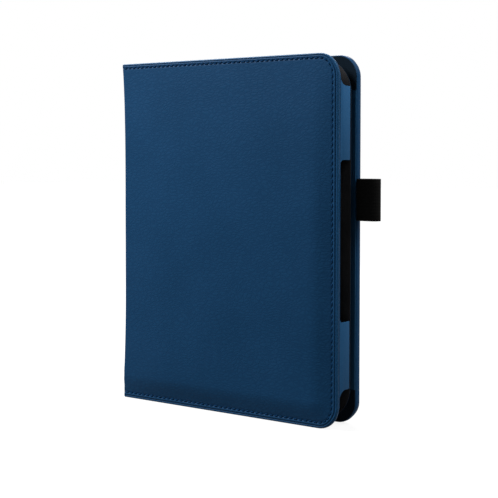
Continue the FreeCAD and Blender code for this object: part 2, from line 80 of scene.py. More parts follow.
def in_frame(x, y, z):
    """A point of the case, given in millimetres, as the frame has it."""
    return CASE_ORIGIN + Vector((x, y, z)) * MM


# The covers' fore-edge and upper edge, and the middle of the spine, where the skins of both covers meet
COVER_FORE = node_box("front_cover_leather")[1].x
COVER_TOP = node_box("front_cover_leather")[1].z
MEETING = node_box("back_cover_leather")[1].y / 2


# Modelling by hand, in small steps

def make_active(piece):
    """Select one piece alone and make it the active one."""
    bpy.ops.object.select_all(action="DESELECT")
    piece.select_set(True)
    bpy.context.view_layer.objects.active = piece


def block(name, low, high):
    """A block between two corners, ready to be shaped."""
    bpy.ops.object.select_all(action="DESELECT")
    low, high = Vector(low), Vector(high)
    bpy.ops.mesh.primitive_cube_add(size=1, location=(low + high) / 2, scale=high - low)
    bpy.ops.object.transform_apply(location=True, rotation=True, scale=True)
    piece = bpy.context.object
    piece.name = name
    return piece


def pick(piece, kind, wanted):
    """Select those faces or edges of a piece that a rule wants, and stay in edit mode."""
    bpy.context.view_layer.objects.active = piece
    bpy.ops.object.mode_set(mode="EDIT")
    bpy.ops.mesh.select_mode(type=kind)
    bpy.ops.mesh.select_all(action="DESELECT")
    mesh = bmesh.from_edit_mesh(piece.data)
    for item in mesh.faces if kind == "FACE" else mesh.edges:
        if wanted(item):
            item.select_set(True)
    mesh.select_flush_mode()
    bmesh.update_edit_mesh(piece.data)


def pull(x, y, z):
    """Extrude what is selected by a move."""
    bpy.ops.mesh.extrude_region_move(TRANSFORM_OT_translate={"value": (x, y, z)})


def done():
    """Back to object mode."""
    bpy.ops.object.mode_set(mode="OBJECT")


def along(edge, axis):
    """Whether an edge runs along an axis."""
    step = edge.verts[1].co - edge.verts[0].co
    return abs(step[axis]) > 0.99 * step.length


def looks(face, axis, side, least=0.9):
    """Whether a face looks to the high side (1) or the low side (-1) of an axis."""
    return face.normal[axis] * side > least


def middle(item):
    """The middle of a face or an edge."""
    total = Vector()
    for point in item.verts:
        total += point.co
    return total / len(item.verts)


def crosscut(piece, axis, places):
    """Cut a piece through at places along an axis, so that it can be shaped there."""
    normal = Vector()
    normal[axis] = 1.0
    make_active(piece)
    bpy.ops.object.mode_set(mode="EDIT")
    for place in places:
        bpy.ops.mesh.select_all(action="SELECT")
        bpy.ops.mesh.bisect(plane_co=normal * place, plane_no=normal)
    done()


def spaced(low, high, step):
    """Places between two ends, about a step apart and clear of the ends."""
    count = max(2, round((high - low) / step))
    return [low + (high - low) * index / count for index in range(1, count)]


def add_modifier(piece, kind, **settings):
    """Add a modifier with its settings and apply it."""
    make_active(piece)
    modifier = piece.modifiers.new(kind.lower(), kind)
    for name, value in settings.items():
        setattr(modifier, name, value)
    bpy.ops.object.modifier_apply(modifier=modifier.name)


def soften(piece):
    """Round a piece by one level of subdivision."""
    add_modifier(piece, "SUBSURF", levels=1, render_levels=1)


def thicken(piece, thickness):
    """Give a shell a wall inwards from its outer face."""
    add_modifier(piece, "SOLIDIFY", thickness=thickness, offset=-1.0, use_even_offset=True)


def weld(piece, reach):
    """Join points that lie closer together than a reach, and drop the faces that close up."""
    make_active(piece)
    bpy.ops.object.mode_set(mode="EDIT")
    bpy.ops.mesh.select_all(action="SELECT")
    bpy.ops.mesh.remove_doubles(threshold=reach)
    bpy.ops.mesh.dissolve_degenerate(threshold=reach)
    done()


def cut_away(piece, cutter):
    """Take a cutter's form out of a piece and drop the cutter."""
    add_modifier(piece, "BOOLEAN", operation="DIFFERENCE", object=cutter, solver="EXACT")
    bpy.data.objects.remove(cutter)
    weld(piece, WELD)


def break_edges(piece, width, segments=2, clamp=True):
    """Round a piece's sharp edges a little."""
    add_modifier(piece, "BEVEL", width=width, segments=segments, limit_method="ANGLE",
                 angle_limit=math.radians(35), harden_normals=False, use_clamp_overlap=clamp)


def settle(piece, angle=40):
    """Bring a finished piece from the case's millimetres into the frame, with its place in its mesh."""
    make_active(piece)
    piece.scale = (MM, MM, MM)
    piece.location = CASE_ORIGIN
    bpy.ops.object.transform_apply(location=True, rotation=True, scale=True)
    bpy.ops.object.shade_smooth_by_angle(angle=math.radians(angle))
    return piece


def rounded_block(name, low, high, axis, radius, wanted=None, segments=8):
    """A block with its edges along an axis rounded, either all of them or those where a rule wants it."""
    piece = block(name, low, high)
    pick(piece, "EDGE", lambda edge: along(edge, axis) and (wanted is None or wanted(middle(edge))))
    bpy.ops.mesh.bevel(offset=radius, segments=segments, affect="EDGES")
    done()
    return piece


def rounded_plate(name, low, high, radius, segments=14):
    """A flat plate whose two corners at the fore-edge are rounded."""
    return rounded_block(name, low, high, Y, radius, lambda point: point.x > high.x - TINY, segments)


# Materials

def set_inputs(node, values):
    """Set a node's inputs by their names."""
    for name, value in values.items():
        node.inputs[name].default_value = value


def new_material(name):
    """A new material, its node tree, its shader and the object coordinates."""
    material = bpy.data.materials.new(name)
    material.use_nodes = True
    tree = material.node_tree
    place = tree.nodes.new("ShaderNodeTexCoord")
    return material, tree, tree.nodes["Principled BSDF"], place.outputs["Object"]


def pattern(tree, kind, vector, **settings):
    """A texture node on the given coordinates."""
    node = tree.nodes.new(kind)
    tree.links.new(vector, node.inputs["Vector"])
    for name, value in settings.items():
        if name in node.inputs:
            node.inputs[name].default_value = value
        else:
            setattr(node, name, value)
    return node


def ramp(tree, source, stops):
    """Map a grey value to the colours or greys at two stops."""
    node = tree.nodes.new("ShaderNodeValToRGB")
    tree.links.new(source, node.inputs["Fac"])
    for element, (position, colour) in zip(node.color_ramp.elements, stops):
        element.position = position
        element.color = (*colour, 1.0) if hasattr(colour, "__len__") else (colour, colour, colour, 1.0)
    return node.outputs["Color"]


def mixed(tree, share, first, second, blend="MIX"):
    """Mix two colours by a share. Each of the three is a value or a node's output."""
    node = tree.nodes.new("ShaderNodeMix")
    node.data_type = "RGBA"
    node.blend_type = blend
    # A mix node keeps its two colours in sockets 6 and 7, and their mix in output 2
    for socket, value in ((node.inputs[0], share), (node.inputs[6], first), (node.inputs[7], second)):
        if hasattr(value, "links"):
            tree.links.new(value, socket)
        elif hasattr(value, "__len__"):
            socket.default_value = (*value, 1.0)
        else:
            socket.default_value = value
    return node.outputs[2]


def relief(tree, shader, height, strength, distance, below=None):
    """Bump the surface by a height, over an earlier bump if there is one."""
    bump = tree.nodes.new("ShaderNodeBump")
    set_inputs(bump, {"Strength": strength, "Distance": distance})
    tree.links.new(height, bump.inputs["Height"])
    if below is not None:
        tree.links.new(below, bump.inputs["Normal"])
    tree.links.new(bump.outputs["Normal"], shader.inputs["Normal"])
    return bump.outputs["Normal"]


def bent_by(tree, vector, scale, reach):
    """Coordinates pushed about by a noise, so that a pattern on them wanders."""
    wander = pattern(tree, "ShaderNodeTexNoise", vector, Scale=scale, Detail=2.0)
    bent = tree.nodes.new("ShaderNodeVectorMath")
    bent.operation = "MULTIPLY_ADD"
    tree.links.new(wander.outputs["Color"], bent.inputs[0])
    bent.inputs[1].default_value = (reach, reach, reach)
    tree.links.new(vector, bent.inputs[2])
    return bent.outputs[0]


def pebbled_leather(name, light, dark, roughness, grain, depth, specular, stretch=(1, 1, 1)):
    """Coated leather: a pressed pebble grain with darker creases and a slow drift of colour."""
    material, tree, shader, place = new_material(name)
    drift = pattern(tree, "ShaderNodeTexNoise", place, Scale=28.0, Detail=3.0)
    drawn = tree.nodes.new("ShaderNodeVectorMath")
    drawn.operation = "MULTIPLY"
    tree.links.new(bent_by(tree, place, scale=40.0, reach=0.012), drawn.inputs[0])
    drawn.inputs[1].default_value = stretch
    bent = bent_by(tree, drawn.outputs[0], scale=grain * 0.6, reach=0.5 / grain)
    cells = pattern(tree, "ShaderNodeTexVoronoi", bent, feature="DISTANCE_TO_EDGE", Scale=grain)
    pebbles = ramp(tree, cells.outputs["Distance"], [(0.0, 0.0), (0.28, 1.0)])
    fine = pattern(tree, "ShaderNodeTexNoise", place, Scale=grain * 3.2, Detail=2.0)
    tone = ramp(tree, drift.outputs["Fac"], [(0.3, dark), (0.7, light)])
    crease = mixed(tree, pebbles, (0.84, 0.86, 0.89), (1.0, 1.0, 1.0))
    tree.links.new(mixed(tree, 1.0, tone, crease, "MULTIPLY"), shader.inputs["Base Color"])
    gloss = ramp(tree, fine.outputs["Fac"], [(0.3, roughness - 0.06), (0.7, roughness + 0.06)])
    tree.links.new(gloss, shader.inputs["Roughness"])
    set_inputs(shader, {"Specular IOR Level": specular})
    below = relief(tree, shader, fine.outputs["Fac"], strength=0.08, distance=0.0001)
    relief(tree, shader, pebbles, strength=depth, distance=0.00012, below=below)
    return material


def napped_cloth(name, colour, lighter):
    """A short-napped lining cloth, brushed lighter in places, with a soft sheen."""
    material, tree, shader, place = new_material(name)
    nap = pattern(tree, "ShaderNodeTexNoise", place, Scale=2600.0, Detail=4.0, Roughness=0.7)
    brushed = pattern(tree, "ShaderNodeTexNoise", place, Scale=60.0, Detail=4.0)
    tone = ramp(tree, brushed.outputs["Fac"], [(0.35, colour), (0.68, lighter)])
    flecks = ramp(tree, nap.outputs["Fac"], [(0.3, 0.7), (0.7, 1.0)])
    tree.links.new(mixed(tree, 1.0, tone, flecks, "MULTIPLY"), shader.inputs["Base Color"])
    set_inputs(shader, {"Roughness": 0.92, "Specular IOR Level": 0.05})
    set_inputs(shader, {"Sheen Weight": 0.03, "Sheen Roughness": 0.5})
    relief(tree, shader, nap.outputs["Fac"], strength=0.35, distance=0.00012)
    return material


def woven_elastic(name, colour, lighter):
    """Woven elastic: close ribs round the loop, crossed by finer picks."""
    material, tree, shader, place = new_material(name)
    ribs = pattern(tree, "ShaderNodeTexWave", place, wave_type="BANDS", bands_direction="Z", Scale=180.0,
                   Distortion=0.6, Detail=1.0)
    picks = pattern(tree, "ShaderNodeTexWave", place, wave_type="BANDS", bands_direction="X", Scale=330.0,
                    Distortion=0.4, Detail=1.0)
    weave = mixed(tree, 0.4, ribs.outputs["Color"], picks.outputs["Color"])
    tone = ramp(tree, weave, [(0.2, colour), (0.8, lighter)])
    tree.links.new(tone, shader.inputs["Base Color"])
    set_inputs(shader, {"Roughness": 0.8, "Specular IOR Level": 0.05})
    relief(tree, shader, weave, strength=0.5, distance=0.0002)
    return material


def moulded_plastic(name, colour, roughness, grain=5200.0, specular=0.4):
    """Moulded plastic with a fine spark-eroded texture and slight handling marks."""
    material, tree, shader, place = new_material(name)
    spark = pattern(tree, "ShaderNodeTexNoise", place, Scale=grain, Detail=2.0)
    marks = pattern(tree, "ShaderNodeTexNoise", place, Scale=90.0, Detail=5.0)
    paler = tuple(min(1.0, part * 1.25 + 0.002) for part in colour)
    tone = ramp(tree, marks.outputs["Fac"], [(0.35, colour), (0.75, paler)])
    tree.links.new(tone, shader.inputs["Base Color"])
    gloss = ramp(tree, marks.outputs["Fac"], [(0.3, roughness + 0.05), (0.7, roughness - 0.05)])
    tree.links.new(gloss, shader.inputs["Roughness"])
    set_inputs(shader, {"Specular IOR Level": specular})
    relief(tree, shader, spark.outputs["Fac"], strength=0.15, distance=0.00006)
    return material


def stamped_metal(name, colour, roughness):
    """Stamped metal, a little darker and rougher in cloudy patches."""
    material, tree, shader, place = new_material(name)
    clouds = pattern(tree, "ShaderNodeTexNoise", place, Scale=900.0, Detail=3.0, Distortion=0.4)
    darker = tuple(part * 0.8 for part in colour)
    tone = ramp(tree, clouds.outputs["Fac"], [(0.3, darker), (0.7, colour)])
    tree.links.new(tone, shader.inputs["Base Color"])
    gloss = ramp(tree, clouds.outputs["Fac"], [(0.3, roughness), (0.7, roughness + 0.12)])
    tree.links.new(gloss, shader.inputs["Roughness"])
    set_inputs(shader, {"Metallic": 1.0})
    relief(tree, shader, clouds.outputs["Fac"], strength=0.05, distance=0.00005)
    return material


def plied_thread(name, colour, lighter):
    """Sewing thread with a twisted ply."""
    material, tree, shader, place = new_material(name)
    ply = pattern(tree, "ShaderNodeTexWave", place, wave_type="BANDS", bands_direction="DIAGONAL",
                  Scale=700.0, Distortion=0.5)
    tone = ramp(tree, ply.outputs["Fac"], [(0.2, colour), (0.8, lighter)])
    tree.links.new(tone, shader.inputs["Base Color"])
    set_inputs(shader, {"Roughness": 0.7, "Specular IOR Level": 0.02})
    relief(tree, shader, ply.outputs["Fac"], strength=0.3, distance=0.0001)
    return material


COVER_LEATHER = pebbled_leather("navy_cover_leather", (0.0082, 0.053, 0.132), (0.0062, 0.046, 0.116), 0.5,
                                grain=640.0, depth=0.34, specular=0.06, stretch=(0.42, 1.0, 0.9))
# A lighter copy of the covers' leather, used as painted light: a painted highlight on the covers' rims, and
# lighter leather on the linings' shaded fore-edge margin
EDGE_LEATHER = pebbled_leather("painted_highlight_edge_leather", (0.022, 0.105, 0.225), (0.018, 0.094, 0.205), 0.4,
                               grain=1500.0, depth=0.1, specular=0.08)
SLEEVE_LEATHER = pebbled_leather("smooth_sleeve_leather", (0.030, 0.118, 0.258), (0.026, 0.106, 0.236), 0.45,
                                 grain=1500.0, depth=0.12, specular=0.02)
# The bezel's leather is nearly black: partly its own dark colour, partly painted shade, darkened further for
# the shade inside the sleeve's openings where it is seen
BEZEL_LEATHER = pebbled_leather("dark_bezel_leather", (0.003, 0.010, 0.021), (0.0025, 0.008, 0.018), 0.6,
                                grain=1100.0, depth=0.2, specular=0.02)
LINING = napped_cloth("dark_lining", (0.003, 0.010, 0.019), (0.005, 0.014, 0.026))
# The sleeve's lining is dark grey rather than black: partly its own dark colour, partly painted light
# standing in for light that reaches inside the sleeve
BLACK_LINING = napped_cloth("black_sleeve_lining", (0.034, 0.0345, 0.038), (0.048, 0.0485, 0.053))
ELASTIC = woven_elastic("black_elastic_weave", (0.0012, 0.0012, 0.0012), (0.0035, 0.0035, 0.0035))
THREAD = plied_thread("navy_thread", (0.0034, 0.028, 0.080), (0.0060, 0.039, 0.112))
DECK_PLASTIC = moulded_plastic("black_deck_plastic", (0.012, 0.012, 0.013), 0.5)
KEY_PLASTIC = moulded_plastic("black_key_plastic", (0.016, 0.016, 0.017), 0.45)
KEY_PRINT = moulded_plastic("white_key_print", (0.72, 0.72, 0.72), 0.6)
REST_RUBBER = moulded_plastic("matt_rubber", (0.014, 0.014, 0.014), 0.8, grain=3000.0, specular=0.25)
BOARD_GREY = moulded_plastic("grey_card", (0.24, 0.23, 0.21), 0.9, grain=2400.0, specular=0.1)
SOCKET_STEEL = stamped_metal("socket_steel", (0.62, 0.61, 0.59), 0.28)
CIRCUIT_GREEN = moulded_plastic("circuit_laminate_green", (0.01, 0.09, 0.035), 0.4)
BATTERY_FOIL = stamped_metal("battery_foil", (0.55, 0.56, 0.58), 0.4)


def paint(piece, *materials):
    """Give a piece its materials in order."""
    piece.data.materials.clear()
    for material in materials:
        piece.data.materials.append(material)


def paint_where(piece, index, wanted):
    """Give one of a piece's materials to the faces that a rule wants."""
    for face in piece.data.polygons:
        if wanted(face):
            face.material_index = index


# Covers

# Rings of a cover's border from its edge inwards, then of the slope inside it: how wide each ring is, and
# how far its inner edge stands proud of the rim
BORDER = [(0.4, 0.15), (0.3, -0.22), (0.25, -0.22), (0.3, 0.16), (0.4, 0.22), (0.55, 0.05), (0.3, -0.26),
          (0.3, -0.26), (0.35, 0.04)]
PADDED_SLOPE = [(0.8, 0.22), (1.5, 0.50), (2.0, 0.82), (2.0, 1.06), (2.5, 1.26), (3.0, 1.36), (3.5, CROWN)]
FLAT_SLOPE = [(1.0, 0.04)]

# How far a cover's rim is rounded, and how far inwards it is painted lighter as a painted highlight
RIM_ROUND = 0.5
RIM_PAINT = 0.5

# A cover is cut from a plate that starts this far past the spine, so that its rings run off there
PLATE_SPARE = 30.0

# How far the stitches lie inside the edge, first in a border of even width and then at each of three edges.
# The change of width dies out at the reach
STITCH_LINE = 3.2
FORE_BORDER = 3.9
UPPER_BORDER = 2.6
LOWER_BORDER = 3.3
BORDER_REACH = 15.0

# The padded panel, whose heights take the place of the slope's: where it starts inside the edges, its rise,
# how wide its slopes are, and how far from the spine its rise begins to ease to that of the solid
PANEL_START = 3.6
PAD_RISE = 2.1
FORE_SLOPE = 13.6
LOWER_SLOPE = 11.5
UPPER_SLOPE = 100.0
SPINE_EASE = 30.0

# A slight swell of the face: its height, how close its waves lie, and which part of the noise it shows
SWELL = 0.14
SWELL_SCALE = 0.035
SWELL_PLACE = Vector((3.1, 0.0, 7.7))

# How far the padded cover's crease is drawn in, and how far that reaches over its face and up the spine
CREASE_SINK = 3.0
CREASE_REACH = 16.0
CREASE_TURN = 3.0

# Where leathers and linings are cut across beside a crease
CREASE_CUTS = (3.6, 5.0, 6.6, 8.8)

# More cuts through the leather: beside the spine's corner, across the spine, and in rows and columns
CORNER_CUT = 1.8
SPINE_CUTS = (1.2, 3.0)
FRONT_ROWS = 7.0
FRONT_COLUMNS = 8.0
BACK_ROWS = 10.0

# The seats for the boards inside the leather: where they start, the edge left standing, and their depths
SEAT_START = 10.0
SEAT_EDGE = 1.0
FRONT_SEAT = 1.2
BACK_SEAT = 3.2

# The slot for the charging socket, which runs out through the cover's upper edge: its play and its rounding
SOCKET_PLAY = Vector((0.25, 0.25, 2.0))
SOCKET_ROUND = 1.0


def border_shift(distance):
    """How much of a border's change of width reaches a point at a distance from the edge."""
    if distance < STITCH_LINE:
        return max(0.0, distance / STITCH_LINE)
    return max(0.0, 1 - (distance - STITCH_LINE) / (BORDER_REACH - STITCH_LINE))


def in_border(x, z):
    """Where a point of an even border lies on a cover whose borders differ in width."""
    new_x = x - (FORE_BORDER - STITCH_LINE) * border_shift(COVER_FORE - x)
    new_z = z - (UPPER_BORDER - STITCH_LINE) * border_shift(COVER_TOP - z)
    return new_x, new_z + (LOWER_BORDER - STITCH_LINE) * border_shift(z)


def edge_distance(x, z):
    """How far a point of a cover lies inside its upper, fore and lower edges."""
    from_fore = COVER_FORE - x
    from_end = min(z, COVER_TOP - z)
    if from_fore < FORE_RADIUS and from_end < FORE_RADIUS:
        return FORE_RADIUS - math.hypot(FORE_RADIUS - from_fore, FORE_RADIUS - from_end)
    return min(from_fore, from_end)


def eased(share):
    """A slope's height: straight for its first half, then rounding off to the flat."""
    share = max(0.0, min(1.0, share))
    return share * 4 / 3 if share < 0.5 else 1 - (1 - share) ** 2 * 4 / 3


def pad_height(x, z):
    """How far the padded panel stands proud: steep below and at the fore-edge, drawn flat above."""
    fore = eased((COVER_FORE - PANEL_START - x) / FORE_SLOPE)
    upper = eased((COVER_TOP - PANEL_START - z) / UPPER_SLOPE)
    lower = eased((z - PANEL_START) / LOWER_SLOPE)
    at_spine = max(0.0, 1 - x / SPINE_EASE)
    return (PAD_RISE + (CROWN - PAD_RISE) * at_spine) * fore * upper * lower


def raise_rings(piece, facing, rings):
    """Inset a cover's outer face ring by ring, each to its own height over the rim."""
    far = max(vertex.co.y * facing for vertex in piece.data.vertices)
    pick(piece, "FACE", lambda face: looks(face, Y, facing) and middle(face).y * facing > far - TINY)
    level = 0.0
    for width, height in rings:
        bpy.ops.mesh.inset(thickness=width, depth=height - level)
        level = height
    done()
    return level


def raise_slope(piece, facing, rings, level):
    """Raise the middle of a cover's face on and draw it in, past where its corners can be inset."""
    for width, height in rings:
        chosen = [vertex.co for vertex in piece.data.vertices if vertex.select]
        low = Vector([min(point[axis] for point in chosen) for axis in (X, Y, Z)])
        high = Vector([max(point[axis] for point in chosen) for axis in (X, Y, Z)])
        shrink = [1 - 2 * width / (high[axis] - low[axis]) if axis != Y else 1 for axis in (X, Y, Z)]
        bpy.ops.object.mode_set(mode="EDIT")
        pull(0, (height - level) * facing, 0)
        bpy.ops.transform.resize(value=shrink, center_override=(low + high) / 2)
        done()
        level = height


def cover_leather(name, low, high, facing, slope):
    """A cover's leather and its half of the spine, as one skin that turns the corner at the crease."""
    outer, inner = (low.y, high.y) if facing < 0 else (high.y, low.y)
    skin = node_box("spine_leather")[1].x
    cover = rounded_plate(name, (-PLATE_SPARE, low.y, low.z), high, FORE_RADIUS)
    pick(cover, "EDGE", lambda edge: all(abs(point.co.y - outer) < TINY for point in edge.verts))
    bpy.ops.mesh.bevel(offset=RIM_ROUND, segments=3, affect="EDGES")
    done()
    level = raise_rings(cover, facing, BORDER)
    raise_slope(cover, facing, slope, level)
    bpy.ops.object.mode_set(mode="EDIT")
    bpy.ops.mesh.select_all(action="SELECT")
    bpy.ops.mesh.bisect(plane_co=(0, 0, 0), plane_no=(1, 0, 0), use_fill=True, clear_inner=True)
    done()
    crosscut(cover, X, [skin])
    pick(cover, "FACE", lambda face: looks(face, Y, -facing) and middle(face).x < skin)
    pull(0, MEETING - inner, 0)
    done()
    return cover


def hollow_for_board(cover, facing, depth):
    """Sink the inside of a cover's leather, where the board lies, and leave the turned-in edges standing."""
    pick(cover, "FACE", lambda face: looks(face, Y, -facing) and middle(face).x > SEAT_START)
    bpy.ops.mesh.inset(thickness=SEAT_EDGE, depth=0)
    pull(0, depth * facing, 0)
    done()


def shape_cover(cover, facing, outer, padded):
    """Give a cover's borders their widths and its face a swell, and a padded one its pad and crease."""
    for vertex in cover.data.vertices:
        point = vertex.co
        rise = max(0.0, min(1.0, (point.y - outer) * facing / CROWN))
        if padded and rise > 0 and edge_distance(point.x, point.z) > PANEL_START:
            point.y = outer + facing * pad_height(point.x, point.z)
        point.y += noise.noise(point * SWELL_SCALE + SWELL_PLACE) * SWELL * rise * facing
        if (point.y - outer) * facing > -RIM_ROUND:
            point.x, point.z = in_border(point.x, point.z)
        if padded:
            # The crease sinks most halfway up, and not at all at its two ends
            sink = CREASE_SINK * (1 - abs(2 * point.z / COVER_TOP - 1) ** 3)
            behind = max(0.0, (outer - point.y) * facing)
            point.x += sink * max(0.0, 1 - point.x / CREASE_REACH) * max(0.0, 1 - behind / CREASE_TURN)


def hold_seam(cover):
    """Keep the seam in the middle of the spine sharp while the rest is rounded."""
    pick(cover, "EDGE", lambda edge: all(abs(point.co.y - MEETING) < TINY for point in edge.verts))
    bpy.ops.transform.edge_crease(value=1.0)
    done()


def paint_cover(cover, facing):
    """Leather all over a cover, with its rim painted lighter as a painted highlight."""
    paint(cover, COVER_LEATHER, EDGE_LEATHER)
    # The rim's faces take the lighter leather as a painted highlight
    paint_where(cover, 1, lambda face: looks(face, Y, facing, least=0.2)
                and edge_distance(face.center.x, face.center.z) < RIM_PAINT)


def bend_at_crease(piece):
    """Bake a piece's placing into its mesh."""
    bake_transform(piece)


def front_leather():
    """The front cover's stitched leather, padded out to the spine."""
    low, high = node_box("front_cover_leather")
    low.y = 0.0
    cover = cover_leather("front_leather", low, high, -1, PADDED_SLOPE)
    hollow_for_board(cover, -1, FRONT_SEAT)
    columns = spaced(CREASE_CUTS[-1], high.x - FORE_RADIUS, FRONT_COLUMNS)
    crosscut(cover, Z, spaced(low.z, high.z, FRONT_ROWS))
    crosscut(cover, X, [CORNER_CUT, *CREASE_CUTS, *columns])
    crosscut(cover, Y, [high.y + behind for behind in SPINE_CUTS])
    shape_cover(cover, -1, 0.0, padded=True)
    hold_seam(cover)
    soften(cover)
    paint_cover(cover, -1)
    settle(cover)
    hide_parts("front_cover_leather", "front_cover_padding")
    bend_at_crease(cover)


def back_leather():
    """The back cover's leather, flat inside its stitched border, with the slot for the charging socket."""
    low, high = node_box("back_cover_leather")
    cover = cover_leather("back_leather", low, high, 1, FLAT_SLOPE)
    hollow_for_board(cover, 1, BACK_SEAT)
    crosscut(cover, Z, spaced(low.z, high.z, BACK_ROWS))
    crosscut(cover, X, [CORNER_CUT, *CREASE_CUTS])
    shape_cover(cover, 1, high.y, padded=False)
    hold_seam(cover)
    soften(cover)
    socket_low, socket_high = node_box("charging_socket")
    cut_away(cover, rounded_block("socket_slot", socket_low - SOCKET_PLAY, socket_high + SOCKET_PLAY, Z,
                                  SOCKET_ROUND, segments=4))
    paint_cover(cover, 1)
    settle(cover)
    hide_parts("back_cover_leather", "spine_leather")
    bend_at_crease(cover)


# Stitching

STITCH_PITCH = 3.3
STITCH_RADIUS = 0.5

# A stitch is straight in the middle, and its ends dip and taper
STITCH_STRAIGHT = 1.5
STITCH_END = 0.5
STITCH_DIP = 0.22
STITCH_TAPER = 0.6

# How far from the spine the borders' stitches start, and how deep they and the bezel's lie in the leather
STITCH_START = 1.0
BORDER_SUNK = 0.2
BEZEL_SUNK = 0.05


def one_stitch():
    """One stitch that dips into the leather at both ends."""
    bpy.ops.object.select_all(action="DESELECT")
    bpy.ops.mesh.primitive_cylinder_add(vertices=8, radius=STITCH_RADIUS, depth=STITCH_STRAIGHT,
                                        end_fill_type="NGON", rotation=(0, math.pi / 2, 0))
    stitch = bpy.context.object
    stitch.name = "stitch"
    bpy.ops.object.transform_apply(location=True, rotation=True, scale=True)
    tip = STITCH_STRAIGHT / 2 + STITCH_END
    for side in (-1, 1):
        pick(stitch, "FACE", lambda face: looks(face, X, side))
        pull(STITCH_END * side, 0, -STITCH_DIP)
        bpy.ops.transform.resize(value=(1, STITCH_TAPER, STITCH_TAPER),
                                 center_override=(tip * side, 0, -STITCH_DIP))
    done()
    return stitch


def stitch_places(low, high):
    """The middles of stitches along a seam, about one pitch apart."""
    count = round((high - low) / STITCH_PITCH)
    return [low + (index + 0.5) * (high - low) / count for index in range(count)]


def border_run():
    """Stitches along a cover's upper, fore and lower edges in a border of even width, as (x, z, heading)."""
    low, high, fore = STITCH_LINE, COVER_TOP - STITCH_LINE, COVER_FORE - STITCH_LINE
    radius = FORE_RADIUS - STITCH_LINE
    corner = fore - radius
    straight = corner - STITCH_START
    side = high - low - 2 * radius
    bend = radius * math.pi / 2
    run = []
    for at in stitch_places(0.0, 2 * straight + side + 2 * bend):
        if at < straight:
            run.append((STITCH_START + at, high, 0.0))
        elif at < straight + bend:
            turn = (at - straight) / radius
            run.append((corner + radius * math.sin(turn), high - radius + radius * math.cos(turn), turn))
        elif at < straight + bend + side:
            run.append((fore, high - radius - (at - straight - bend), math.pi / 2))
        elif at < straight + 2 * bend + side:
            turn = math.pi / 2 + (at - straight - bend - side) / radius
            run.append((corner + radius * math.sin(turn), low + radius + radius * math.cos(turn), turn))
        else:
            run.append((corner - (at - straight - 2 * bend - side), low, math.pi))
    return run


def window_run(low, high):
    """Stitches round a window between two corners, as (x, z, heading)."""
    level = [(x, z, 0.0) for z in (low.z, high.z) for x in stitch_places(low.x, high.x)]
    upright = [(x, z, math.pi / 2) for x in (low.x, high.x) for z in stitch_places(low.z, high.z)]
    return level + upright


def sew(name, run, level, facing):
    """Copy one stitch to every place of a run on a face that looks to the front or the back."""
    stitch = one_stitch()
    upright = Matrix.Rotation(math.pi / 2 * -facing, 4, "X")
    copies = []
    for x, z, heading in run:
        copy = stitch.copy()
        copy.data = stitch.data.copy()
        bpy.context.collection.objects.link(copy)
        turned = Matrix.Rotation(heading, 4, "Y")
        copy.data.transform(Matrix.Translation((x, level, z)) @ turned @ upright)
        copies.append(copy)
    bpy.data.objects.remove(stitch)
    bpy.ops.object.select_all(action="DESELECT")
    for copy in copies:
        copy.select_set(True)
    bpy.context.view_layer.objects.active = copies[0]
    bpy.ops.object.join()
    row = bpy.context.object
    row.name = name
    paint(row, THREAD)
    return settle(row, angle=60)


def cover_stitching():
    """The border stitches of both covers."""
    run = [(*in_border(x, z), heading) for x, z, heading in border_run()]
    depth = node_box("back_cover_leather")[1].y
    front = sew("front_stitches", run, BORDER_SUNK, -1)
    bend_at_crease(front)
    back = sew("back_stitches", run, depth - BORDER_SUNK, 1)
    bend_at_crease(back)


# Linings

# A lining's corners are this much tighter than the cover's, and it is rounded where it turns up the spine
LINING_INSET = 0.6
LINING_FOLD = 0.9

# How far the covers' leather is turned in over the linings at the fore-edge, in a lighter leather as painted
# light on that shaded strip, and how far short of their upper and lower ends it stops, which leaves the dark
# lining at the corners as painted shade
TURN_IN = 5.0
TURN_IN_END = 19.0

# The hole for the keyboard's deck: the deck's corners and the play round it
DECK_RADIUS = 5.0
DECK_PLAY = 0.15


def lining(name, node, facing, hole=None):
    """A cover's lining, carried on to the middle of the spine, with leather turned in at the fore-edge,
    painted lighter as painted light.
    """
    low, high = node_box(node)
    spine_low, spine_high = node_box("spine_lining")
    inner = high.y if facing > 0 else low.y
    cloth = rounded_plate(name, (spine_low.x, low.y, low.z), high, FORE_RADIUS - LINING_INSET)
    crosscut(cloth, X, [spine_high.x])
    pick(cloth, "FACE", lambda face: looks(face, Y, facing) and middle(face).x < spine_high.x)
    pull(0, MEETING - inner, 0)
    pick(cloth, "EDGE", lambda edge: along(edge, Z) and abs(middle(edge).x - spine_high.x) < TINY
         and abs(middle(edge).y - inner) < TINY)
    bpy.ops.mesh.bevel(offset=LINING_FOLD, segments=5, affect="EDGES")
    done()
    margin = high.x - TURN_IN
    ends = (low.z + TURN_IN_END, high.z - TURN_IN_END)
    crosscut(cloth, X, [*CREASE_CUTS, margin])
    crosscut(cloth, Z, ends)
    if hole is not None:
        cut_away(cloth, hole)
    # The turned-in margin takes the lighter edge leather: painted light on a strip that lies in shade
    paint(cloth, LINING, EDGE_LEATHER)
    paint_where(cloth, 1, lambda face: face.center.x > margin and ends[0] < face.center.z < ends[1])
    settle(cloth)
    width = (high.x - spine_low.x + abs(MEETING - inner)) * MM
    return cloth, width, (high.z - low.z) * MM


